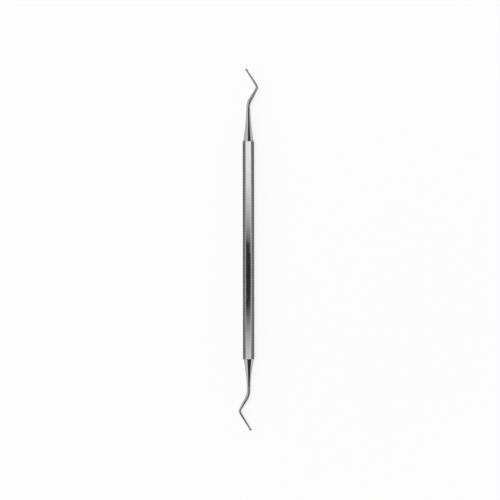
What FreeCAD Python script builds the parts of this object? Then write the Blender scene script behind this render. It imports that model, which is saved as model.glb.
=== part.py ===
import FreeCAD, Part
import math
import os

import Sketcher

# Double-ended ball burnisher, a hand instrument turned and bent from one hexagonal stainless bar.
# It lies on a flat of its handle: the handle runs along Y, Z is up, and both shanks bend level
# with the bench. The end nearer +Y is called upper and the end nearer -Y is called lower.
# Lengths are in millimetres and angles in degrees.
NODE = "ball_burnisher"

# The sizes of the handle.
HANDLE_SIZES = [
    ("handle_length", 101.9, "between the points where the corners run out at the two ends"),
    ("handle_flats", 4.85, "across flats"),
    ("corner_break", 0.2, "taken off each flat by the bevel along a corner"),
    ("shoulder_radius", 3.2, "hollow where the flats run into the taper"),
    ("serration_pitch", 0.72, "from groove to groove along a flat"),
    ("serration_depth", 0.16, "of a groove below its flat"),
    ("serration_angle", 110.0, "between the two sides of a groove"),
    ("serration_run_out", 0.5, "how far the grooves go on past the end of the corners"),
]

# The sizes of each end, which differ a little because the ends are bent and dressed by hand.
# A bend is placed by the corner that its two straight runs would meet in.
END_SIZES = [
    ("taper_length", 15.5, 13.0, "turned taper, from the end of the handle's corners"),
    ("flare_start", 0.8735, 0.8903, "width where the taper's hollow begins, as a share across corners"),
    ("flare_lean", 1.7, 1.8, "slope of the taper where it meets the shank"),
    ("neck_diameter", 1.85, 1.75, "of the shank from the taper to the end of its first bend"),
    ("knee_diameter", 1.2, 1.2, "of the shank round its second bend"),
    ("tip_diameter", 0.84, 0.9, "of the shank at the ball"),
    ("neck_run", 0.58, 1.69, "straight stretch between the taper and the first bend"),
    ("first_turn", 29.2, 30.0, "away from the handle's axis"),
    ("first_radius", 6.8, 9.0, "of the first bend"),
    ("offset_run", 8.86, 8.82, "from the first bend to the second"),
    ("second_turn", 62.0, 61.3, "back across the handle's axis"),
    ("second_radius", 1.94, 1.75, "of the second bend"),
    ("working_run", 9.56, 9.87, "from the second bend to the middle of the ball"),
    ("ball_diameter", 1.35, 1.5, "of the working ball"),
    ("ball_fillet", 0.3, 0.3, "between the ball and its shank"),
]

# A serrated flat takes its turn with a smooth one, round from the smooth flat on top. The grooves
# of each serrated flat start a third of a pitch on from those of the one before.
SERRATED_FLATS = [(60, 1 / 3), (180, 2 / 3), (300, 0)]

# How far a cutting profile reaches outside the metal that it cuts.
CUT_CLEARANCE = 1.0

# A feature that changes the volume by less than this, in cubic millimetres, has missed the metal.
LEAST_CHANGE = 1e-4

X_AXIS = FreeCAD.Vector(1, 0, 0)
Y_AXIS = FreeCAD.Vector(0, 1, 0)
Z_AXIS = FreeCAD.Vector(0, 0, 1)


def make_sheet(doc):
    """The spreadsheet of driving sizes: value, alias and what each one is."""
    sheet = doc.addObject("Spreadsheet::Sheet", "sizes")
    rows = list(HANDLE_SIZES)
    for alias, upper, lower, note in END_SIZES:
        rows.append((f"upper_{alias}", upper, note))
        rows.append((f"lower_{alias}", lower, note))
    for number, (alias, value, note) in enumerate(rows, start=1):
        sheet.set(f"A{number}", str(value))
        sheet.setAlias(f"A{number}", alias)
        sheet.set(f"B{number}", alias)
        sheet.set(f"C{number}", note)
    doc.recompute()
    return sheet


def origin_plane(body, role):
    return next(f for f in body.Origin.OriginFeatures if f.Role == role)


def plane_sketch(body, name, role, turn=None):
    """A sketch on one of the body's own planes, turned within its frame where that is needed."""
    sketch = body.newObject("Sketcher::SketchObject", name)
    sketch.AttachmentSupport = [(origin_plane(body, role), "")]
    sketch.MapMode = "FlatFace"
    if turn:
        sketch.AttachmentOffset = FreeCAD.Placement(FreeCAD.Vector(), turn)
    return sketch


def end_turn(end):
    """Both ends are drawn pointing up their sketch, and the lower one is then turned half round."""
    return FreeCAD.Rotation(Z_AXIS, 0 if end == "upper" else 180)


def size_rule(sketch, name, formula, *constraint):
    """Add one driving constraint and bind it to the sheet."""
    index = sketch.addConstraint(Sketcher.Constraint(*constraint))
    sketch.renameConstraint(index, name)
    sketch.setExpression(f"Constraints.{name}", formula)


def line(sketch, start, end, construction=False):
    first = FreeCAD.Vector(*start, 0)
    last = FreeCAD.Vector(*end, 0)
    return sketch.addGeometry(Part.LineSegment(first, last), construction)


def arc(sketch, centre, radius, start_angle, end_angle):
    """A counter-clockwise arc between two angles in radians."""
    circle = Part.Circle(FreeCAD.Vector(*centre, 0), Z_AXIS, radius)
    return sketch.addGeometry(Part.ArcOfCircle(circle, start_angle, end_angle))


def join(sketch, first, first_point, second, second_point):
    sketch.addConstraint(Sketcher.Constraint("Coincident", first, first_point, second, second_point))


def smooth(sketch, first, first_point, second, second_point):
    sketch.addConstraint(Sketcher.Constraint("Tangent", first, first_point, second, second_point))


def hexagonal_bar(body, sheet):
    """The bar that the instrument is turned from, with a flat on top and its corners broken."""
    sketch = plane_sketch(body, "bar_section", "XZ_Plane")
    radius = sheet.handle_flats / 2 / math.cos(math.radians(30))
    corners = []
    for number in range(6):
        angle = math.radians(60 * number)
        corners.append((radius * math.cos(angle), radius * math.sin(angle)))
    sides = [line(sketch, corners[n - 1], corners[n]) for n in range(6)]
    rim = sketch.addGeometry(Part.Circle(FreeCAD.Vector(), Z_AXIS, radius), True)
    join(sketch, rim, 3, -1, 1)
    for number, side in enumerate(sides):
        join(sketch, sides[number - 1], 2, side, 1)
        sketch.addConstraint(Sketcher.Constraint("PointOnObject", side, 1, rim))
    for side in sides[1:]:
        sketch.addConstraint(Sketcher.Constraint("Equal", sides[0], side))
    sketch.addConstraint(Sketcher.Constraint("Horizontal", sides[2]))
    size_rule(sketch, "corner_radius", "sizes.handle_flats / 2 / cos(30deg)", "Radius", rim, radius)

    bar = body.newObject("PartDesign::Pad", "hexagonal_bar")
    bar.Profile = sketch
    bar.SideType = "Two sides"
    bar.setExpression("Length", "sizes.handle_length / 2 + sizes.lower_taper_length")
    bar.setExpression("Length2", "sizes.handle_length / 2 + sizes.upper_taper_length")
    body.Document.recompute()

    corner_edges = []
    for number, edge in enumerate(bar.Shape.Edges, start=1):
        ends = [vertex.Point for vertex in edge.Vertexes]
        if abs((ends[1] - ends[0]).normalize().dot(Y_AXIS)) > 0.999:
            corner_edges.append(f"Edge{number}")
    bevels = body.newObject("PartDesign::Chamfer", "broken_corners")
    bevels.Base = (bar, corner_edges)
    bevels.setExpression("Size", "sizes.corner_break")
    body.Document.recompute()


def serration_cutter(sheet, angle, lead):
    """A comb with one V-shaped tooth for each groove across one flat, from end to end of the flat.

    The gaps between its teeth come to a point above the flat, so a land is left between two grooves.
    """
    pitch = sheet.serration_pitch
    flat = sheet.handle_flats / 2
    root = flat - sheet.serration_depth
    crest = root + pitch / 2 / math.tan(math.radians(sheet.serration_angle / 2))
    back = max(flat, crest) + CUT_CLEARANCE
    half_count = math.floor((sheet.handle_length / 2 + sheet.serration_run_out) / pitch)
    width = sheet.handle_flats

    first = (lead - half_count - 0.5) * pitch
    outline = [FreeCAD.Vector(-width / 2, first, back), FreeCAD.Vector(-width / 2, first, crest)]
    for number in range(2 * half_count + 1):
        outline.append(FreeCAD.Vector(-width / 2, first + (number + 0.5) * pitch, root))
        outline.append(FreeCAD.Vector(-width / 2, first + (number + 1) * pitch, crest))
    outline.append(FreeCAD.Vector(-width / 2, outline[-1].y, back))
    profile = Part.Face(Part.makePolygon(outline + outline[:1]))
    comb = profile.extrude(FreeCAD.Vector(width, 0, 0))
    comb.rotate(FreeCAD.Vector(), Y_AXIS, angle)
    return comb


def meeting_point(first, first_radius, second, second_radius):
    """Where two circles meet, on the right of the way from the first centre to the second."""
    apart = math.hypot(second[0] - first[0], second[1] - first[1])
    along = (apart ** 2 + first_radius ** 2 - second_radius ** 2) / (2 * apart)
    aside = math.sqrt(first_radius ** 2 - along ** 2)
    way = ((second[0] - first[0]) / apart, (second[1] - first[1]) / apart)
    return (first[0] + along * way[0] + aside * way[1], first[1] + along * way[1] - aside * way[0])


def bearing(centre, point):
    return math.atan2(point[1] - centre[1], point[0] - centre[0])


def flare_size(sheet, end):
    """Radius of the hollow that leaves the neck at its lean and reaches the bar's end at its start."""
    lean = math.radians(sheet.get(f"{end}_flare_lean"))
    rise = sheet.get(f"{end}_flare_start") * sheet.handle_flats / 2 / math.cos(math.radians(30))
    rise -= sheet.get(f"{end}_neck_diameter") / 2
    run = sheet.get(f"{end}_taper_length")
    return (rise ** 2 + run ** 2) / (2 * (rise * math.cos(lean) - run * math.sin(lean)))


def flare_rule(end):
    """The same radius, as the sheet's own sizes give it."""
    lean = f"(sizes.{end}_flare_lean * 1deg)"
    rise = f"(sizes.{end}_flare_start * sizes.handle_flats / 2 / cos(30deg) - sizes.{end}_neck_diameter / 2)"
    run = f"sizes.{end}_taper_length"
    return f"({rise}^2 + {run}^2) / (2 * ({rise} * cos{lean} - {run} * sin{lean}))"


def turned_end(body, sheet, end):
    """Turn one end of the bar down to the neck: a short hollow shoulder, then a long flare."""
    sketch = plane_sketch(body, f"{end}_turning_profile", "XY_Plane", end_turn(end))
    corner = sheet.handle_flats / 2 / math.cos(math.radians(30))
    base = sheet.handle_length / 2
    neck_radius = sheet.get(f"{end}_neck_diameter") / 2
    neck = base + sheet.get(f"{end}_taper_length")
    flare = flare_size(sheet, end)
    lean = math.radians(sheet.get(f"{end}_flare_lean"))
    outside = corner + CUT_CLEARANCE
    beyond = neck + CUT_CLEARANCE

    flare_centre = (neck_radius + flare * math.cos(lean), neck + flare * math.sin(lean))
    shoulder_centre = meeting_point(
        (corner, base), sheet.shoulder_radius, flare_centre, flare - sheet.shoulder_radius)
    join_angle = bearing(flare_centre, shoulder_centre)
    neck_angle = math.pi + lean
    corner_angle = bearing(shoulder_centre, (corner, base))

    shoulder_arc = arc(sketch, shoulder_centre, sheet.shoulder_radius, join_angle, corner_angle)
    flare_arc = arc(sketch, flare_centre, flare, neck_angle, join_angle)
    steps = [(corner, base), (outside, base), (outside, beyond), (neck_radius, beyond), (neck_radius, neck)]
    sides = [line(sketch, steps[n], steps[n + 1]) for n in range(4)]
    join(sketch, shoulder_arc, 2, sides[0], 1)
    for number in range(3):
        join(sketch, sides[number], 2, sides[number + 1], 1)
    join(sketch, sides[3], 2, flare_arc, 1)
    smooth(sketch, flare_arc, 2, shoulder_arc, 1)
    sketch.addConstraint(Sketcher.Constraint("Horizontal", sides[0]))
    sketch.addConstraint(Sketcher.Constraint("Vertical", sides[1]))
    sketch.addConstraint(Sketcher.Constraint("Horizontal", sides[2]))
    sketch.addConstraint(Sketcher.Constraint("Vertical", sides[3]))
    size_rule(sketch, "corner_radius", "sizes.handle_flats / 2 / cos(30deg)",
              "DistanceX", -1, 1, sides[0], 1, corner)
    size_rule(sketch, "corner_end", "sizes.handle_length / 2",
              "DistanceY", -1, 1, sides[0], 1, base)
    size_rule(sketch, "outside", f"{CUT_CLEARANCE}",
              "DistanceX", sides[0], 1, sides[0], 2, CUT_CLEARANCE)
    size_rule(sketch, "beyond", f"{CUT_CLEARANCE}",
              "DistanceY", sides[3], 2, sides[3], 1, CUT_CLEARANCE)
    size_rule(sketch, "neck_radius", f"sizes.{end}_neck_diameter / 2",
              "DistanceX", -1, 1, sides[3], 2, neck_radius)
    size_rule(sketch, "neck_end", f"sizes.{end}_taper_length",
              "DistanceY", sides[0], 1, sides[3], 2, neck - base)
    size_rule(sketch, "flare_radius", flare_rule(end), "Radius", flare_arc, flare)
    size_rule(sketch, "flare_lean", f"{flare_rule(end)} * sin(sizes.{end}_flare_lean * 1deg)",
              "DistanceY", flare_arc, 1, flare_arc, 3, flare * math.sin(lean))
    size_rule(sketch, "shoulder_radius", "sizes.shoulder_radius",
              "Radius", shoulder_arc, sheet.shoulder_radius)

    turning = body.newObject("PartDesign::Groove", f"{end}_turned_end")
    turning.Profile = sketch
    turning.ReferenceAxis = (sketch, ["V_Axis"])
    turning.Angle = 360
    body.Document.recompute()


def shank_path(body, sheet, end):
    """The middle line of one shank: three straight runs joined by two bends, level with the bench."""
    sketch = plane_sketch(body, f"{end}_shank_path", "XY_Plane", end_turn(end))
    base = sheet.handle_length / 2
    start = (0, base + sheet.get(f"{end}_taper_length"))
    lean = math.radians(sheet.get(f"{end}_first_turn"))
    back = math.radians(sheet.get(f"{end}_second_turn")) - lean
    first_radius = sheet.get(f"{end}_first_radius")
    second_radius = sheet.get(f"{end}_second_radius")
    first_in = (0, start[1] + sheet.get(f"{end}_neck_run"))
    offset_run = sheet.get(f"{end}_offset_run")
    working_run = sheet.get(f"{end}_working_run")
    first_cut = first_radius * math.tan(lean / 2)
    first_corner = (0, first_in[1] + first_cut)
    second_corner = (offset_run * math.sin(lean), first_corner[1] + offset_run * math.cos(lean))
    ball = (second_corner[0] - working_run * math.sin(back), second_corner[1] + working_run * math.cos(back))

    second_cut = second_radius * math.tan((lean + back) / 2)
    first_out = (first_cut * math.sin(lean), first_corner[1] + first_cut * math.cos(lean))
    second_in = (second_corner[0] - second_cut * math.sin(lean), second_corner[1] - second_cut * math.cos(lean))
    second_out = (second_corner[0] - second_cut * math.sin(back), second_corner[1] + second_cut * math.cos(back))
    first_centre = (first_radius, first_in[1])
    second_centre = (second_in[0] - second_radius * math.cos(lean), second_in[1] + second_radius * math.sin(lean))

    neck_run = line(sketch, start, first_in)
    first_bend = arc(sketch, first_centre, first_radius, math.pi - lean, math.pi)
    middle_run = line(sketch, first_out, second_in)
    second_bend = arc(sketch, second_centre, second_radius, -lean, back)
    tip_run = line(sketch, second_out, ball)
    axis_guide = line(sketch, start, first_corner, True)
    offset_guide = line(sketch, first_corner, second_corner, True)
    working_guide = line(sketch, second_corner, ball, True)

    sketch.addConstraint(Sketcher.Constraint("PointOnObject", neck_run, 1, -2))
    sketch.addConstraint(Sketcher.Constraint("Vertical", axis_guide))
    join(sketch, axis_guide, 1, neck_run, 1)
    join(sketch, axis_guide, 2, offset_guide, 1)
    join(sketch, offset_guide, 2, working_guide, 1)
    join(sketch, working_guide, 2, tip_run, 2)
    smooth(sketch, neck_run, 2, first_bend, 2)
    smooth(sketch, first_bend, 1, middle_run, 1)
    smooth(sketch, middle_run, 2, second_bend, 1)
    smooth(sketch, second_bend, 2, tip_run, 1)
    sketch.addConstraint(Sketcher.Constraint("PointOnObject", neck_run, 2, axis_guide))
    sketch.addConstraint(Sketcher.Constraint("PointOnObject", middle_run, 1, offset_guide))
    sketch.addConstraint(Sketcher.Constraint("PointOnObject", middle_run, 2, offset_guide))
    sketch.addConstraint(Sketcher.Constraint("PointOnObject", tip_run, 1, working_guide))
    size_rule(sketch, "start", f"sizes.handle_length / 2 + sizes.{end}_taper_length",
              "DistanceY", -1, 1, neck_run, 1, start[1])
    size_rule(sketch, "neck_run", f"sizes.{end}_neck_run",
              "DistanceY", neck_run, 1, neck_run, 2, first_in[1] - start[1])
    size_rule(sketch, "offset_bearing", f"90deg - sizes.{end}_first_turn * 1deg",
              "Angle", offset_guide, math.pi / 2 - lean)
    size_rule(sketch, "working_bearing",
              f"90deg - sizes.{end}_first_turn * 1deg + sizes.{end}_second_turn * 1deg",
              "Angle", working_guide, math.pi / 2 + back)
    size_rule(sketch, "offset_run", f"sizes.{end}_offset_run", "Distance", offset_guide, offset_run)
    size_rule(sketch, "working_run", f"sizes.{end}_working_run", "Distance", working_guide, working_run)
    size_rule(sketch, "first_radius", f"sizes.{end}_first_radius", "Radius", first_bend, first_radius)
    size_rule(sketch, "second_radius", f"sizes.{end}_second_radius", "Radius", second_bend, second_radius)
    body.Document.recompute()
    return sketch


def along_path(feature, path, edge, place, flip):
    """Stand a feature on the shank's path, square to it at one end of one run."""
    feature.AttachmentSupport = [(path, edge)]
    feature.MapMode = "NormalToEdge"
    feature.MapPathParameter = place
    feature.MapReversed = flip


def bend(body, sheet, path, end, which, edge, diameter_size, side):
    """One bend of the shank: its round section swung about the middle of the bend.

    The side is 1 where the middle of the bend lies to the right of the path, and -1 to the left.
    """
    sketch = body.newObject("Sketcher::SketchObject", f"{end}_{which}_bend_section")
    along_path(sketch, path, edge, 1, False)
    diameter = sheet.get(f"{end}_{diameter_size}")
    centre = side * sheet.get(f"{end}_{which}_radius")
    ring = sketch.addGeometry(Part.Circle(FreeCAD.Vector(), Z_AXIS, diameter / 2))
    axis = line(sketch, (centre, 0), (centre, diameter), True)
    join(sketch, ring, 3, -1, 1)
    sketch.addConstraint(Sketcher.Constraint("Vertical", axis))
    sketch.addConstraint(Sketcher.Constraint("PointOnObject", axis, 1, -1))
    size_rule(sketch, "diameter", f"sizes.{end}_{diameter_size}", "Diameter", ring, diameter)
    size_rule(sketch, "axis_length", f"sizes.{end}_{diameter_size}", "DistanceY", axis, 1, axis, 2, diameter)
    size_rule(sketch, "bend_radius", f"{side} * sizes.{end}_{which}_radius",
              "DistanceX", -1, 1, axis, 1, centre)
    body.Document.recompute()
    swing = body.newObject("PartDesign::Revolution", f"{end}_{which}_bend")
    swing.Profile = sketch
    swing.ReferenceAxis = (sketch, ["Axis0"])
    swing.Reversed = side > 0
    swing.setExpression("Angle", f"sizes.{end}_{which}_turn * 1deg")
    body.Document.recompute()


def neck_run(body, path, end):
    """The short round stretch between the turned taper and the first bend."""
    run = body.newObject("PartDesign::AdditiveCylinder", f"{end}_neck_run")
    along_path(run, path, "Edge1", 0, True)
    run.setExpression("Radius", f"sizes.{end}_neck_diameter / 2")
    run.setExpression("Height", f"sizes.{end}_neck_run")
    body.Document.recompute()


def offset_run(body, path, end, length):
    """The straight stretch between the two bends, ground to an even taper."""
    run = body.newObject("PartDesign::AdditiveCone", f"{end}_offset_run")
    along_path(run, path, "Edge3", 0, True)
    run.setExpression("Radius1", f"sizes.{end}_neck_diameter / 2")
    run.setExpression("Radius2", f"sizes.{end}_knee_diameter / 2")
    run.setExpression("Height", length)
    body.Document.recompute()


def blend_centre(slope, tip, ball, blend):
    """Middle of the arc that joins a tapering rod to a ball, out from the rod's axis and along it.

    The rod would be as thick as the tip at the middle of the ball, and the arc touches both.
    """
    lean = 1 + slope ** 2
    lift = tip + blend * math.sqrt(lean)
    reach = math.sqrt((lift * slope) ** 2 - lean * (lift ** 2 - (ball + blend) ** 2))
    along = (lift * slope - reach) / lean
    return (lift - slope * along, along)


def working_end(body, sheet, path, end, length_rule):
    """The last stretch of the shank with its ball, in one turned profile about the path.

    In the sketch the middle of the ball is the origin and the path runs up the vertical axis.
    """
    sketch = body.newObject("Sketcher::SketchObject", f"{end}_working_profile")
    along_path(sketch, path, "Edge5", 1, True)
    sketch.AttachmentOffset = FreeCAD.Placement(FreeCAD.Vector(), FreeCAD.Rotation(X_AXIS, 90))
    knee = sheet.get(f"{end}_knee_diameter") / 2
    tip = sheet.get(f"{end}_tip_diameter") / 2
    ball = sheet.get(f"{end}_ball_diameter") / 2
    blend = sheet.get(f"{end}_ball_fillet")
    turn = math.radians(sheet.get(f"{end}_second_turn"))
    length = sheet.get(f"{end}_working_run") - sheet.get(f"{end}_second_radius") * math.tan(turn / 2)
    centre = blend_centre((knee - tip) / length, tip, ball, blend)
    to_rod = math.pi + math.atan2(knee - tip, length)
    to_ball = math.atan2(-centre[1], -centre[0])
    on_rod = (centre[0] + blend * math.cos(to_rod), centre[1] + blend * math.sin(to_rod))

    back = line(sketch, (0, -length), (knee, -length))
    rod = line(sketch, (knee, -length), on_rod)
    blend_arc = arc(sketch, centre, blend, to_ball, to_rod)
    ball_arc = arc(sketch, (0, 0), ball, to_ball - math.pi, math.pi / 2)
    axis = line(sketch, (0, ball), (0, -length))
    rod_guide = line(sketch, (knee, -length), (tip, 0), True)

    join(sketch, back, 2, rod, 1)
    join(sketch, back, 2, rod_guide, 1)
    smooth(sketch, rod, 2, blend_arc, 2)
    smooth(sketch, blend_arc, 1, ball_arc, 1)
    join(sketch, ball_arc, 2, axis, 1)
    join(sketch, axis, 2, back, 1)
    join(sketch, ball_arc, 3, -1, 1)
    sketch.addConstraint(Sketcher.Constraint("Horizontal", back))
    sketch.addConstraint(Sketcher.Constraint("PointOnObject", axis, 1, -2))
    sketch.addConstraint(Sketcher.Constraint("PointOnObject", axis, 2, -2))
    sketch.addConstraint(Sketcher.Constraint("PointOnObject", rod_guide, 2, -1))
    sketch.addConstraint(Sketcher.Constraint("PointOnObject", rod, 2, rod_guide))
    size_rule(sketch, "length", length_rule, "DistanceY", axis, 2, -1, 1, length)
    size_rule(sketch, "knee", f"sizes.{end}_knee_diameter / 2", "DistanceX", back, 1, back, 2, knee)
    size_rule(sketch, "tip", f"sizes.{end}_tip_diameter / 2", "DistanceX", -1, 1, rod_guide, 2, tip)
    size_rule(sketch, "ball", f"sizes.{end}_ball_diameter / 2", "Radius", ball_arc, ball)
    size_rule(sketch, "blend", f"sizes.{end}_ball_fillet", "Radius", blend_arc, blend)
    body.Document.recompute()
    turning = body.newObject("PartDesign::Revolution", f"{end}_working_end")
    turning.Profile = sketch
    turning.ReferenceAxis = (sketch, ["V_Axis"])
    turning.Angle = 360
    body.Document.recompute()


def bent_shank(body, sheet, end):
    """One shank: round to the end of its first bend, then tapering on each straight run to the ball."""
    path = shank_path(body, sheet, end)
    first_cut = f"sizes.{end}_first_radius * tan(sizes.{end}_first_turn / 2 * 1deg)"
    second_cut = f"sizes.{end}_second_radius * tan(sizes.{end}_second_turn / 2 * 1deg)"
    neck_run(body, path, end)
    bend(body, sheet, path, end, "first", "Edge1", "neck_diameter", 1)
    offset_run(body, path, end, f"sizes.{end}_offset_run - {first_cut} - {second_cut}")
    bend(body, sheet, path, end, "second", "Edge3", "knee_diameter", -1)
    working_end(body, sheet, path, end, f"sizes.{end}_working_run - {second_cut}")


def make_burnisher(doc, sheet):
    """The whole instrument, which is one piece of steel."""
    body = doc.addObject("PartDesign::Body", "bent_and_turned_bar")
    hexagonal_bar(body, sheet)
    for end in ("upper", "lower"):
        turned_end(body, sheet, end)
    for end in ("upper", "lower"):
        bent_shank(body, sheet, end)

    burnisher = doc.addObject("Part::Feature", NODE)
    burnisher.Label = NODE
    combs = [serration_cutter(sheet, angle, lead) for angle, lead in SERRATED_FLATS]
    burnisher.Shape = body.Shape.cut(combs).Solids[0]
    box = body.Shape.optimalBoundingBox()
    burnisher.Placement.Base = FreeCAD.Vector(-box.Center.x, -box.Center.y, -box.ZMin)
    doc.recompute()
    return burnisher


def check_document(doc, parts):
    """Stop before anything is written if a feature failed, or took no metal away and added none."""
    failed = [item.Name for item in doc.Objects if {"Invalid", "Error"} & set(item.State)]
    if failed:
        raise RuntimeError(f"these objects did not compute: {failed}")
    for part in parts:
        if part.Shape.isNull() or not part.Shape.isValid() or len(part.Shape.Solids) != 1:
            raise RuntimeError(f"{part.Label} is not one valid solid")
    steps = [item for item in doc.Objects if item.isDerivedFrom("PartDesign::Feature")] + parts
    for before, after in zip(steps, steps[1:]):
        if abs(after.Shape.Volume - before.Shape.Volume) < LEAST_CHANGE:
            raise RuntimeError(f"{after.Name} changed nothing")


def main():
    doc = FreeCAD.newDocument("burnisher")
    sheet = make_sheet(doc)
    parts = [make_burnisher(doc, sheet)]
    check_document(doc, parts)
    os.makedirs("parts", exist_ok=True)
    for part in parts:
        part.Shape.exportStep(f"parts/{part.Label}.step")
        print(part.Label, "volume", round(part.Shape.Volume, 2), part.Shape.optimalBoundingBox())


main()
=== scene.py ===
import math

import bpy
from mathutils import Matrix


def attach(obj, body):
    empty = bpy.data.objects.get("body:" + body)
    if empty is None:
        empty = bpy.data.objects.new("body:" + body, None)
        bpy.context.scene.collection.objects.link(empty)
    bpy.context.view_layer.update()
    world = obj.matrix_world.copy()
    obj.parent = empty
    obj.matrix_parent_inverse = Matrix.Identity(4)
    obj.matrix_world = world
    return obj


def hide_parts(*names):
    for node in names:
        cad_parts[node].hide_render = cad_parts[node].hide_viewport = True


# The looks of a double-ended ball burnisher, one piece of stainless steel. Its frame is the CAD
# solid's: the handle runs along Y, Z is up, and the instrument lies on a flat of its handle.
# The shape is worked out in millimetres about the handle's own middle, then put in the frame.
NODE = "ball_burnisher"
MM = 0.001

# The handle's length runs between the ends of its corners, and its width is across flats. A broken
# corner takes this much off the flat on each side of it.
HANDLE_LENGTH = 101.9
HANDLE_FLATS = 4.85
CORNER_BREAK = 0.2
SHOULDER_RADIUS = 3.2

# The V grooves of a serrated flat, which run out this far past the end of the corners.
PITCH = 0.72
GROOVE_DEPTH = 0.16
GROOVE_ANGLE = 110.0
RUN_OUT = 0.5

# Each flat's place round the handle in degrees, and for a serrated one its lead in pitches.
FLATS = [(0, None), (60, 1 / 3), (120, None), (180, 2 / 3), (240, None), (300, 0)]
HALF_FLAT_ANGLE = math.radians(30)

END_SIZES = {
    "upper": {
        "taper": 15.5, "flare_start": 0.8735, "flare_lean": 1.7,
        "neck": 1.85, "knee": 1.2, "tip": 0.84,
        "neck_run": 0.58, "first_turn": 29.2, "first_radius": 6.8, "offset_run": 8.86,
        "second_turn": 62.0, "second_radius": 1.94, "working_run": 9.56,
        "ball": 1.35, "blend": 0.3,
    },
    "lower": {
        "taper": 13.0, "flare_start": 0.8903, "flare_lean": 1.8,
        "neck": 1.75, "knee": 1.2, "tip": 0.9,
        "neck_run": 1.69, "first_turn": 30.0, "first_radius": 9.0, "offset_run": 8.82,
        "second_turn": 61.3, "second_radius": 1.75, "working_run": 9.87,
        "ball": 1.5, "blend": 0.3,
    },
}

# How finely the surface is divided.
FLAT_STEPS = 10
FLANK_STEPS = 5
LAND_STEPS = 5
JOIN_STEPS = 32
TAPER_STEPS = 44
NECK_STEPS = 3
RUN_STEPS = 8
FIRST_BEND_STEPS = 18
SECOND_BEND_STEPS = 26
BLEND_STEPS = 8
BALL_STEPS = 22
SHARP_ANGLE = 14.0

# How far past the end of the corners the handle's rows go before the rings are all square to it.
JOIN_REACH = 2.4

# Each smooth flat is taken to be rounded by polishing, by a hundredth of a millimetre or so: evenly
# more from a line near one edge, and more again along the other. It is a guess, fitted to the slant
# and the sharp end of the dark reflection in the photograph.
CROWN = 0.002
CROWN_LINE = -0.9
EDGE_ROLL = 0.004
ROLL_POWER = 12

HALF_FLATS = HANDLE_FLATS / 2
CORNER = HALF_FLATS / math.cos(HALF_FLAT_ANGLE)
BASE = HANDLE_LENGTH / 2
HALF_MOUTH = GROOVE_DEPTH * math.tan(math.radians(GROOVE_ANGLE / 2))
HALF_COUNT = math.floor((BASE + RUN_OUT) / PITCH)

# The steel's textures, in waves a metre, along X, Y and Z where they are drawn out into lines.
GROUND_LINES = (9000.0, 90.0, 9000.0)
LATHE_LINES = (150.0, 7000.0, 150.0)
SCRATCH_LINES = (2600.0, 260.0, 2600.0)
SCRATCH_FROM = (0.66, 0.70)
CLOUD_SCALE = 160.0
GRAIN_SCALE = 9000.0

# The grey of the polished and of the serrated steel, and what each texture adds to it.
POLISHED_TONE, CLOUD_TONE, LINE_TONE = 0.49, 0.04, 0.03
# The serrated grey is painted shade. It is darker than the polished steel to stand in for the
# grooves' self-shadowing and darker reflections, and the groove amount paints more shade towards
# each groove's root.
SERRATED_PAINTED_SHADE, GROOVE_PAINTED_SHADE, GRAIN_TONE = 0.25, -0.17, 0.05

# Their roughness in the same way. The turned ends are a little duller than the flats. The upper
# shank's middle run has a pale core in the photograph. Its dull stretch, called dressed here, is a
# guess that gives it that look: the real cause may be a slight tilt.
POLISHED_ROUGHNESS, CLOUD_ROUGHNESS, LINE_ROUGHNESS = 0.014, 0.012, 0.014
TURNED_ROUGHNESS, SCRATCH_ROUGHNESS, DRESSED_ROUGHNESS = 0.07, 0.05, 0.60
SERRATED_ROUGHNESS, GRAIN_ROUGHNESS = 0.30, 0.12
SPECULAR_TINT = 0.35

# Where those stretches begin and end, in metres from the middle.
TURNED_START = (0.0508, 0.0518)
DRESSED_START = (0.0688, 0.0702)
DRESSED_END = (0.0762, 0.0778)

# The fine relief of lines and grain. A scratch lies below the lines.
SCRATCH_RELIEF = -0.6
RELIEF_STRENGTH = 0.12
RELIEF_HEIGHT = 0.0000006

# A matt floor just under the instrument. The share of plain white that it shows grows outwards.
FLOOR_HALF_SIZE = 3.0
FLOOR_DROP = 0.00005
FLOOR_GREY = 0.96
FLOOR_WHITE_NEAR, FLOOR_WHITE_FAR = 0.82, 1.0
FLOOR_WHITE_REACH = (0.06, 0.4)

# The studio overhead, by degrees from straight up: a dark spot, taken for the lens, in a white
# surround that brightens outwards from a middle of its own. Each stop is the angle from there and
# the strength, fitted by tone to the reflection on the top flat in the photograph.
LENS_TILT = 1.16
LENS_SIDE = 0.2
LENS_EDGE = (1.52, 1.66)
SURROUND_TILT = 1.35
SURROUND = [(1.3, 0.02), (1.53, 0.08), (1.92, 0.21), (2.31, 0.38), (2.8, 0.60), (3.18, 0.75),
            (3.95, 0.98), (4.6, 1.22), (6.2, 1.45)]
SURROUND_REACH = 12.0

# The light boxes, by degrees to the right and ahead: from, to, and the width of the soft edge. The
# surround shows inside the sheet.
SHEET = {"right": (-9.0, 9.0, 2.0), "ahead": (-6.1, 6.3, 0.8)}
LEFT_BOX = {"right": (-80.0, -21.0, 5.0), "ahead": (-62.0, 62.0, 10.0)}
STRIP = {"right": (52.0, 68.0, 3.0), "ahead": (-8.0, 8.0, 2.0)}
LEFT_STRENGTH = 0.90
STRIP_STRENGTH = 1.05

# The right and the far light rise over a span of degrees, and the backdrop falls over a span of
# height. The left and right edges slant, by this many degrees for each one ahead.
RIGHT_RISE, RIGHT_STRENGTH = (46.0, 70.0), 0.50
FAR_RISE, FAR_STRENGTH = (42.0, 60.0), 0.90
BACKDROP_FALL, BACKDROP_STRENGTH = (0.12, 0.24), 0.95
EDGE_SLANT = 0.35
ROOM_STRENGTH = 0.05

# The lamp that fills the floor: metres, watts and degrees.
LAMP_SIZE = 1.2
LAMP_POWER = 9.0
LAMP_PLACE = (-0.25, 0.15, 1.3)
LAMP_TURN = (-7, -11, 0)

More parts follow.
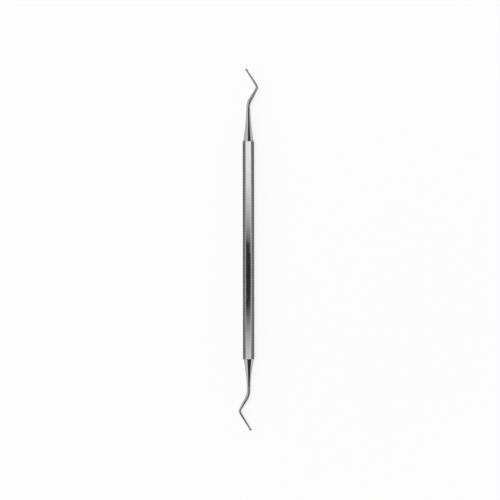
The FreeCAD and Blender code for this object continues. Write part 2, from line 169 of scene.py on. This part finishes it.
# The photograph's view: straight down, 0.4697 mm to a pixel of 500.
CAMERA_DISTANCE = 0.56
VIEW_WIDTH = 0.23485
VIEW_CENTRE = (0.00077, -0.00014)
CAMERA_ROLL = 0.07
SENSOR_WIDTH = 36.0


def between(first, last, share):
    return first + (last - first) * share


def meeting_point(first, first_radius, second, second_radius):
    """Where two circles meet, on the right of the way from the first centre to the second."""
    apart = math.dist(first, second)
    along = (apart ** 2 + first_radius ** 2 - second_radius ** 2) / (2 * apart)
    aside = math.sqrt(first_radius ** 2 - along ** 2)
    way = ((second[0] - first[0]) / apart, (second[1] - first[1]) / apart)
    return (first[0] + along * way[0] + aside * way[1], first[1] + along * way[1] - aside * way[0])


class TurnedEnd:
    """The radius that one end of the bar is turned to, along the axis from the handle's middle."""

    def __init__(self, sizes):
        lean = math.radians(sizes["flare_lean"])
        self.neck_radius = sizes["neck"] / 2
        self.neck = BASE + sizes["taper"]
        rise = sizes["flare_start"] * CORNER - self.neck_radius
        run = sizes["taper"]
        self.flare = (rise ** 2 + run ** 2) / (2 * (rise * math.cos(lean) - run * math.sin(lean)))
        self.flare_centre = (
            self.neck_radius + self.flare * math.cos(lean), self.neck + self.flare * math.sin(lean))
        self.shoulder_centre = meeting_point(
            (CORNER, BASE), SHOULDER_RADIUS, self.flare_centre, self.flare - SHOULDER_RADIUS)
        apart = math.dist(self.flare_centre, self.shoulder_centre)
        back = self.shoulder_centre[1] - self.flare_centre[1]
        self.join = self.flare_centre[1] + self.flare / apart * back

    def radius(self, along):
        if along < BASE:
            return CORNER
        if along > self.neck:
            return self.neck_radius
        if along < self.join:
            centre, radius = self.shoulder_centre, SHOULDER_RADIUS
        else:
            centre, radius = self.flare_centre, self.flare
        return centre[0] - math.sqrt(radius ** 2 - (along - centre[1]) ** 2)


TURNED = {end: TurnedEnd(sizes) for end, sizes in END_SIZES.items()}


def turned_radius(y):
    return TURNED["upper" if y > 0 else "lower"].radius(abs(y))


def edge_angle(depth):
    """From the middle of a flat to its bevel, where the flat is cut this deep."""
    whole = HALF_FLATS * math.tan(HALF_FLAT_ANGLE) - CORNER_BREAK
    return math.atan2(whole + depth / math.tan(HALF_FLAT_ANGLE), HALF_FLATS - depth)


def polished_off(across):
    """How much polishing has taken off a smooth flat at this distance from its middle."""
    reach = across - CROWN_LINE
    whole = HALF_FLATS * math.tan(edge_angle(0.0)) - CROWN_LINE
    return CROWN * reach ** 2 + EDGE_ROLL * (reach / whole) ** ROLL_POWER


def groove_stations():
    """Each row across a serrated flat: groove number, distance from its root line, and depth.

    Grooves that lie between the corners' ends are plain, with rows only at their edges and root.
    """
    stations = []
    plain = math.floor((BASE - HALF_MOUTH) / PITCH - 1)
    for number in range(-HALF_COUNT, HALF_COUNT + 1):
        flank_steps, land_steps = (1, 1) if abs(number) <= plain else (FLANK_STEPS, LAND_STEPS)
        for step in range(-flank_steps, flank_steps + 1):
            share = step / flank_steps
            stations.append((number, share * HALF_MOUTH, GROOVE_DEPTH * (1 - abs(share))))
        if number < HALF_COUNT:
            for step in range(1, land_steps):
                land = between(HALF_MOUTH, PITCH - HALF_MOUTH, step / land_steps)
                stations.append((number, land, 0.0))
    return stations


def handle_ring(places, depth):
    """One ring of the handle, from where each serrated flat's row lies along it.

    Each point has its place, whether it is on a serrated flat, and its share of a groove's depth.
    """
    ring = []
    for number, (angle, lead) in enumerate(FLATS):
        cut = depth if lead is not None else 0.0
        half = edge_angle(cut)
        before = places[number] if lead is not None else places[number - 1]
        after = places[number] if lead is not None else places[(number + 1) % len(FLATS)]
        for step in range(FLAT_STEPS + 1):
            share = step / FLAT_STEPS
            aside = between(-half, half, share)
            y = between(before, after, share)
            flat = (HALF_FLATS - cut) / math.cos(aside)
            if lead is None:
                flat -= polished_off(HALF_FLATS * math.tan(aside))
            turned = turned_radius(y)
            radius = min(flat, turned)
            on_flat = turned >= flat
            turn = math.radians(angle) + aside
            ring.append((
                (radius * math.sin(turn), y, radius * math.cos(turn)),
                on_flat and lead is not None,
                cut / GROOVE_DEPTH if on_flat else 0.0,
            ))
    return ring


def round_ring(centre, tilt, radius):
    """One round ring square to the shank, whose side has turned this far from X towards -Y."""
    ring = []
    half = edge_angle(0.0)
    for angle, _ in FLATS:
        for step in range(FLAT_STEPS + 1):
            turn = math.radians(angle) + between(-half, half, step / FLAT_STEPS)
            across = radius * math.sin(turn)
            place = (centre[0] + across * math.cos(tilt), centre[1] - across * math.sin(tilt),
                     radius * math.cos(turn))
            ring.append((place, False, 0.0))
    return ring


def working_profile(sizes, length):
    """Distance along from the ball's centre and radius: the working end's taper, blend and ball."""
    knee, tip = sizes["knee"] / 2, sizes["tip"] / 2
    slope = (knee - tip) / length
    root = math.hypot(1, slope)
    ball_radius, blend = sizes["ball"] / 2, sizes["blend"]
    lift = tip + blend * root
    reach = math.sqrt(
        (lift * slope) ** 2 - root ** 2 * (lift ** 2 - (ball_radius + blend) ** 2))
    blend_along = (lift * slope - reach) / root ** 2
    blend_out = lift - slope * blend_along
    first_angle = math.atan2(-1, -slope)
    last_angle = math.atan2(-blend_out, -blend_along)

    profile = []
    blend_start = blend_along + blend * math.cos(first_angle)
    for step in range(1, RUN_STEPS + 1):
        along = between(-length, blend_start, step / RUN_STEPS)
        profile.append((along, tip - slope * along))
    for step in range(1, BLEND_STEPS + 1):
        angle = between(first_angle, last_angle, step / BLEND_STEPS)
        profile.append((blend_along + blend * math.cos(angle), blend_out + blend * math.sin(angle)))
    pole_angle = math.atan2(blend_out, blend_along)
    for step in range(1, BALL_STEPS):
        angle = pole_angle * (1 - step / BALL_STEPS)
        profile.append((ball_radius * math.cos(angle), ball_radius * math.sin(angle)))
    return profile


def shank_sections(sizes):
    """The shank's sections from taper to ball, each a place, a tilt and a radius, and the pole."""
    lean = math.radians(sizes["first_turn"])
    back = math.radians(sizes["second_turn"]) - lean
    neck, knee = sizes["neck"] / 2, sizes["knee"] / 2
    first_cut = sizes["first_radius"] * math.tan(lean / 2)
    second_cut = sizes["second_radius"] * math.tan((lean + back) / 2)
    start = (0.0, BASE + sizes["taper"])
    bend_start = (0.0, start[1] + sizes["neck_run"])
    corner = (0.0, bend_start[1] + first_cut)
    knee_corner = (
        corner[0] + sizes["offset_run"] * math.sin(lean),
        corner[1] + sizes["offset_run"] * math.cos(lean))
    ball = (
        knee_corner[0] - sizes["working_run"] * math.sin(back),
        knee_corner[1] + sizes["working_run"] * math.cos(back))

    def on_run(start, tilt, length):
        return (start[0] + length * math.sin(tilt), start[1] + length * math.cos(tilt))

    sections = []
    for step in range(1, NECK_STEPS + 1):
        sections.append(((0.0, between(start[1], bend_start[1], step / NECK_STEPS)), 0.0, neck))
    centre = (sizes["first_radius"], bend_start[1])
    for step in range(1, FIRST_BEND_STEPS + 1):
        tilt = lean * step / FIRST_BEND_STEPS
        place = (centre[0] - sizes["first_radius"] * math.cos(tilt),
                 centre[1] + sizes["first_radius"] * math.sin(tilt))
        sections.append((place, tilt, neck))
    offset_length = sizes["offset_run"] - first_cut - second_cut
    offset_start = sections[-1][0]
    for step in range(1, RUN_STEPS + 1):
        share = step / RUN_STEPS
        place = on_run(offset_start, lean, offset_length * share)
        sections.append((place, lean, between(neck, knee, share)))
    knee_start = sections[-1][0]
    centre = (knee_start[0] - sizes["second_radius"] * math.cos(lean),
              knee_start[1] + sizes["second_radius"] * math.sin(lean))
    for step in range(1, SECOND_BEND_STEPS + 1):
        tilt = between(lean, -back, step / SECOND_BEND_STEPS)
        place = (centre[0] + sizes["second_radius"] * math.cos(tilt),
                 centre[1] - sizes["second_radius"] * math.sin(tilt))
        sections.append((place, tilt, knee))
    for along, radius in working_profile(sizes, sizes["working_run"] - second_cut):
        sections.append((on_run(ball, -back, along), -back, radius))
    return sections, on_run(ball, -back, sizes["ball"] / 2)


def end_rings(end):
    """The rings from the end of the taper's first row to the ball, and the ball's pole."""
    side = 1 if end == "upper" else -1
    taper_start = BASE + JOIN_REACH
    taper_end = BASE + END_SIZES[end]["taper"]
    rings = []
    for step in range(1, TAPER_STEPS + 1):
        y = between(taper_start, taper_end, step / TAPER_STEPS)
        rings.append(round_ring((0.0, side * y), 0.0, TURNED[end].radius(y)))
    sections, pole = shank_sections(END_SIZES[end])
    for place, tilt, radius in sections:
        rings.append(round_ring((side * place[0], side * place[1]), tilt, radius))
    return rings, (side * pole[0], side * pole[1], 0.0)


def handle_rings():
    """The handle's rings, and at each end some more that turn square to it on the taper."""
    leads = [lead for _, lead in FLATS]
    rows = []
    for number, offset, depth in groove_stations():
        places = [None if lead is None else (number + lead) * PITCH + offset for lead in leads]
        rows.append((places, depth))
    for side, anchor in ((-1, rows[0][0]), (1, rows[-1][0])):
        joined = []
        for step in range(1, JOIN_STEPS + 1):
            share = step / JOIN_STEPS
            places = [None if place is None else between(place, side * (BASE + JOIN_REACH), share)
                      for place in anchor]
            joined.append((places, 0.0))
        rows = joined[::-1] + rows if side < 0 else rows + joined
    return [handle_ring(places, depth) for places, depth in rows]


def skin_faces(rows, columns):
    """Quads between the rings, and a fan from each pole. The points are pole, rings, pole."""
    last = rows * columns + 1
    top = last - columns
    nexts = [(column, (column + 1) % columns) for column in range(columns)]
    faces = [(0, 1 + after, 1 + column) for column, after in nexts]
    for row in range(rows - 1):
        here, there = 1 + row * columns, 1 + (row + 1) * columns
        for column, after in nexts:
            faces.append((here + column, here + after, there + after, there + column))
    faces += [(top + column, top + after, last) for column, after in nexts]
    return faces


def build_burnisher():
    """One closed skin from the lower ball's pole to the upper ball's pole."""
    lower, lower_pole = end_rings("lower")
    upper, upper_pole = end_rings("upper")
    rings = lower[::-1] + handle_rings() + upper
    columns = len(rings[0])
    skin = [(lower_pole, False, 0.0)]
    for ring in rings:
        skin += ring
    skin.append((upper_pole, False, 0.0))
    points = [place for place, _, _ in skin]
    faces = skin_faces(len(rings), columns)

    low = [min(p[i] for p in points) for i in range(3)]
    high = [max(p[i] for p in points) for i in range(3)]
    move = (-(low[0] + high[0]) / 2, -(low[1] + high[1]) / 2, -low[2])
    placed = [tuple((p[i] + move[i]) * MM for i in range(3)) for p in points]

    mesh = bpy.data.meshes.new("burnisher_skin")
    mesh.from_pydata(placed, [], faces)
    mesh.update()
    per_flat = FLAT_STEPS + 1
    serrated = []
    for face in faces:
        column = (face[0] - 1) % columns
        on_flat = len(face) == 4 and column % per_flat < FLAT_STEPS
        cut_flat = on_flat and FLATS[column // per_flat][1] is not None
        serrated.append(1.0 if cut_flat and any(skin[point][1] for point in face) else 0.0)
    mark = mesh.attributes.new("serrated", "FLOAT", "FACE")
    mark.data.foreach_set("value", serrated)
    # Each point's share of its groove's depth, by which the steel paints shade deeper into the
    # grooves.
    mark = mesh.attributes.new("groove", "FLOAT", "POINT")
    mark.data.foreach_set("value", [depth for _, _, depth in skin])
    mesh.polygons.foreach_set("use_smooth", [True] * len(faces))
    mark_sharp_edges(mesh)
    burnisher = bpy.data.objects.new("burnisher_steel", mesh)
    bpy.context.scene.collection.objects.link(burnisher)
    return burnisher


def mark_sharp_edges(mesh):
    """Edges stay crisp where two faces meet at more than the sharp angle."""
    normals = {}
    for polygon in mesh.polygons:
        for key in polygon.edge_keys:
            normals.setdefault(key, []).append(polygon.normal.copy())
    least = math.cos(math.radians(SHARP_ANGLE))
    sharp = [
        len(normals[edge.key]) == 2 and normals[edge.key][0].dot(normals[edge.key][1]) < least
        for edge in mesh.edges]
    mark = mesh.attributes.new("sharp_edge", "BOOLEAN", "EDGE")
    mark.data.foreach_set("value", sharp)


def node(tree, kind, inputs=None, **settings):
    """Add a shader node. An input is a value, or the socket that it comes from."""
    made = tree.nodes.new(kind)
    for name, value in settings.items():
        setattr(made, name, value)
    for key, value in (inputs or {}).items():
        if isinstance(value, bpy.types.NodeSocket):
            tree.links.new(value, made.inputs[key])
        else:
            made.inputs[key].default_value = value
    return made


def sums(tree, operation, *values):
    return node(tree, "ShaderNodeMath", dict(enumerate(values)), operation=operation).outputs[0]


def rise(tree, value, span, first=0.0, last=1.0):
    """A smooth rise or fall from first to last as the value crosses the span."""
    settings = {
        "Value": value, "From Min": span[0], "From Max": span[1], "To Min": first, "To Max": last}
    made = node(tree, "ShaderNodeMapRange", settings, interpolation_type="SMOOTHSTEP")
    return made.outputs["Result"]


def fall(tree, value, span):
    return rise(tree, value, span, 1.0, 0.0)


def build_up(tree, base, *parts):
    """A base value, and on top of it each texture times its own amount."""
    total = base
    for texture, amount in parts:
        total = sums(tree, "MULTIPLY_ADD", texture, amount, total)
    return total


def mix(tree, share, first, second):
    inputs = {"Factor": share, "A": first, "B": second}
    return node(tree, "ShaderNodeMix", inputs).outputs["Result"]


def noise(tree, vector, scale, detail, roughness):
    inputs = {"Vector": vector, "Scale": scale, "Detail": detail, "Roughness": roughness}
    return node(tree, "ShaderNodeTexNoise", inputs).outputs["Fac"]


def drawn_noise(tree, vector, scales, detail, roughness):
    """Noise drawn out into lines, by a scale of its own along each axis."""
    stretched = node(tree, "ShaderNodeMapping", {"Vector": vector, "Scale": scales})
    return noise(tree, stretched.outputs["Vector"], 1.0, detail, roughness)


def new_tree(owner):
    owner.use_nodes = True
    owner.node_tree.nodes.clear()
    return owner.node_tree


def steel():
    """Stainless steel: polished shanks, finely ground flats, and duller machined serrations whose
    darker grey is painted shade.
    """
    material = bpy.data.materials.new("stainless_steel")
    tree = new_tree(material)
    place = node(tree, "ShaderNodeTexCoord").outputs["Object"]
    serrated = node(tree, "ShaderNodeAttribute", attribute_name="serrated").outputs["Fac"]
    groove = node(tree, "ShaderNodeAttribute", attribute_name="groove").outputs["Fac"]
    along = node(tree, "ShaderNodeSeparateXYZ", {"Vector": place}).outputs["Y"]
    turned = rise(tree, sums(tree, "ABSOLUTE", along), TURNED_START)
    dressed = sums(
        tree, "MULTIPLY", rise(tree, along, DRESSED_START), fall(tree, along, DRESSED_END))

    ground = drawn_noise(tree, place, GROUND_LINES, 3.0, 0.6)
    lathe = drawn_noise(tree, place, LATHE_LINES, 3.0, 0.6)
    lines = mix(tree, turned, ground, lathe)
    cloud = noise(tree, place, CLOUD_SCALE, 3.0, 0.55)
    grain = noise(tree, place, GRAIN_SCALE, 2.0, 0.6)
    scratched = rise(tree, drawn_noise(tree, place, SCRATCH_LINES, 2.0, 0.4), SCRATCH_FROM)

    polished_tone = build_up(tree, POLISHED_TONE, (cloud, CLOUD_TONE), (lines, LINE_TONE))
    # Painted shade on the serrated flats, darker still towards each groove's root.
    serrated_painted_shade = build_up(tree, SERRATED_PAINTED_SHADE, (groove, GROOVE_PAINTED_SHADE), (grain, GRAIN_TONE))
    tone = mix(tree, serrated, polished_tone, serrated_painted_shade)
    colour = node(tree, "ShaderNodeCombineColor", {"Red": tone, "Green": tone, "Blue": tone})

    polished_roughness = build_up(
        tree, POLISHED_ROUGHNESS, (cloud, CLOUD_ROUGHNESS), (lines, LINE_ROUGHNESS),
        (turned, TURNED_ROUGHNESS), (scratched, SCRATCH_ROUGHNESS), (dressed, DRESSED_ROUGHNESS))
    serrated_roughness = build_up(tree, SERRATED_ROUGHNESS, (grain, GRAIN_ROUGHNESS))
    roughness = mix(tree, serrated, polished_roughness, serrated_roughness)

    relief = mix(tree, serrated, build_up(tree, lines, (scratched, SCRATCH_RELIEF)), grain)
    bump = node(tree, "ShaderNodeBump", {
        "Height": relief, "Strength": RELIEF_STRENGTH, "Distance": RELIEF_HEIGHT})

    shader = node(tree, "ShaderNodeBsdfPrincipled", {
        "Base Color": colour.outputs["Color"], "Metallic": 1.0, "Roughness": roughness,
        "Normal": bump.outputs["Normal"],
        "Specular Tint": (SPECULAR_TINT, SPECULAR_TINT, SPECULAR_TINT, 1.0)})
    output = node(tree, "ShaderNodeOutputMaterial")
    tree.links.new(shader.outputs["BSDF"], output.inputs["Surface"])
    return material


def seen_white(tree):
    """1 for the rays that show the background: from the camera, off gloss and through glass."""
    path = node(tree, "ShaderNodeLightPath").outputs
    first = sums(tree, "MAXIMUM", path["Is Camera Ray"], path["Is Glossy Ray"])
    return sums(tree, "MAXIMUM", first, path["Is Transmission Ray"])


def make_floor():
    size = FLOOR_HALF_SIZE
    corners = [(-size, -size, 0), (size, -size, 0), (size, size, 0), (-size, size, 0)]
    mesh = bpy.data.meshes.new("floor")
    mesh.from_pydata(corners, [], [(0, 1, 2, 3)])
    material = bpy.data.materials.new("pale_floor")
    tree = new_tree(material)
    grey = (FLOOR_GREY, FLOOR_GREY, FLOOR_GREY, 1.0)
    matt = node(tree, "ShaderNodeBsdfDiffuse", {"Color": grey})
    white = node(tree, "ShaderNodeEmission", {"Color": (1.0, 1.0, 1.0, 1.0), "Strength": 1.0})
    place = node(tree, "ShaderNodeTexCoord").outputs["Object"]
    distance = node(tree, "ShaderNodeVectorMath", {0: place}, operation="LENGTH").outputs["Value"]
    whiteness = rise(tree, distance, FLOOR_WHITE_REACH, FLOOR_WHITE_NEAR, FLOOR_WHITE_FAR)
    share = sums(tree, "MULTIPLY", seen_white(tree), whiteness)
    mixed = node(tree, "ShaderNodeMixShader", {0: share, 1: matt.outputs[0], 2: white.outputs[0]})
    output = node(tree, "ShaderNodeOutputMaterial")
    tree.links.new(mixed.outputs[0], output.inputs["Surface"])
    mesh.materials.append(material)
    floor = bpy.data.objects.new("floor", mesh)
    bpy.context.scene.collection.objects.link(floor)
    floor.location.z = -FLOOR_DROP


def band(tree, value, low, high, soft):
    """1 between two angles, fading to 0 over the soft width on both sides of each."""
    inside = rise(tree, value, (low - soft, low + soft))
    return sums(tree, "MULTIPLY", inside, fall(tree, value, (high - soft, high + soft)))


def light_box(tree, right, ahead, box):
    aside, along = band(tree, right, *box["right"]), band(tree, ahead, *box["ahead"])
    return sums(tree, "MULTIPLY", aside, along)


def angle_from(tree, right, ahead, tilt, side):
    """Degrees from a spot that lies this far back and this far to the left of straight up."""
    across = sums(tree, "ADD", right, side)
    off = sums(tree, "ADD", ahead, tilt)
    squares = sums(tree, "MULTIPLY_ADD", across, across, sums(tree, "MULTIPLY", off, off))
    return sums(tree, "SQRT", squares)


def overhead_sheet(tree, right, ahead):
    """The sheet overhead, with its surround and the dark lens in it."""
    outwards = angle_from(tree, right, ahead, SURROUND_TILT, 0.0)
    outwards = sums(tree, "DIVIDE", outwards, SURROUND_REACH)
    surround = node(tree, "ShaderNodeValToRGB", {"Fac": outwards})
    stops = surround.color_ramp.elements
    while len(stops) < len(SURROUND):
        stops.new(0.5)
    for stop, (angle, strength) in zip(stops, SURROUND):
        stop.position = angle / SURROUND_REACH
        stop.color = (strength, strength, strength, 1.0)
    sheet = light_box(tree, right, ahead, SHEET)
    lit = sums(tree, "MULTIPLY", surround.outputs["Color"], sheet)
    lens = rise(tree, angle_from(tree, right, ahead, LENS_TILT, LENS_SIDE), LENS_EDGE)
    return sums(tree, "MULTIPLY", lit, lens)


def studio_light():
    """Soft boxes by direction for the whole room, and one lamp overhead that fills the floor."""
    world = bpy.data.worlds.new("studio")
    tree = new_tree(world)
    way = node(tree, "ShaderNodeTexCoord").outputs["Generated"]
    parts = node(tree, "ShaderNodeSeparateXYZ", {"Vector": way}).outputs
    degrees = 180 / math.pi
    right = sums(tree, "MULTIPLY", sums(tree, "ARCTAN2", parts["X"], parts["Z"]), degrees)
    ahead = sums(tree, "MULTIPLY", sums(tree, "ARCTAN2", parts["Y"], parts["Z"]), degrees)
    left_edge = sums(tree, "MULTIPLY_ADD", ahead, -EDGE_SLANT, right)
    right_edge = sums(tree, "MULTIPLY_ADD", ahead, EDGE_SLANT, right)

    lights = [
        (light_box(tree, left_edge, ahead, LEFT_BOX), LEFT_STRENGTH),
        (light_box(tree, right, ahead, STRIP), STRIP_STRENGTH),
        (rise(tree, right_edge, RIGHT_RISE), RIGHT_STRENGTH),
        (rise(tree, sums(tree, "ABSOLUTE", ahead), FAR_RISE), FAR_STRENGTH),
        (fall(tree, parts["Z"], BACKDROP_FALL), BACKDROP_STRENGTH),
    ]
    level = overhead_sheet(tree, right, ahead)
    for light, strength in lights:
        level = sums(tree, "MAXIMUM", level, sums(tree, "MULTIPLY", light, strength))
    level = sums(tree, "ADD", level, ROOM_STRENGTH)

    seen = node(tree, "ShaderNodeLightPath").outputs["Is Camera Ray"]
    sky = node(tree, "ShaderNodeBackground", {
        "Color": (1.0, 1.0, 1.0, 1.0), "Strength": mix(tree, seen, level, 1.0)})
    output = node(tree, "ShaderNodeOutputWorld")
    tree.links.new(sky.outputs[0], output.inputs["Surface"])
    bpy.context.scene.world = world

    lamp = bpy.data.lights.new("overhead", "AREA")
    lamp.shape = "DISK"
    lamp.size = LAMP_SIZE
    lamp.energy = LAMP_POWER
    bulb = bpy.data.objects.new("overhead", lamp)
    bulb.location = LAMP_PLACE
    bulb.rotation_euler = [math.radians(turn) for turn in LAMP_TURN]
    bulb.visible_glossy = False
    bpy.context.scene.collection.objects.link(bulb)


def make_camera():
    """Straight down, as the photograph was taken, with +Y up the picture."""
    data = bpy.data.cameras.new("camera")
    data.sensor_width = SENSOR_WIDTH
    data.lens = SENSOR_WIDTH * CAMERA_DISTANCE / VIEW_WIDTH
    camera = bpy.data.objects.new("camera", data)
    camera.rotation_euler = (0.0, 0.0, -math.radians(CAMERA_ROLL))
    camera.location = (VIEW_CENTRE[0], VIEW_CENTRE[1], CAMERA_DISTANCE + HALF_FLATS * MM)
    bpy.context.scene.collection.objects.link(camera)
    bpy.context.scene.camera = camera


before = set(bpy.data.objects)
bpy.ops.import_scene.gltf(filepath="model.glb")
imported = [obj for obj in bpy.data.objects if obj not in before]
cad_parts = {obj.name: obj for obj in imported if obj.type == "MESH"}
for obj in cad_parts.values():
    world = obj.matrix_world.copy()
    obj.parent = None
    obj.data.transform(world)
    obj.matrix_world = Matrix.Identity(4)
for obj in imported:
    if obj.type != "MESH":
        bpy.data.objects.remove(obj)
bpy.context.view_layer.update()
burnisher = build_burnisher()
burnisher.data.materials.append(steel())
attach(burnisher, "root")
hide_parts(NODE)
make_floor()
studio_light()
make_camera()
bpy.context.scene.view_settings.view_transform = "Standard"
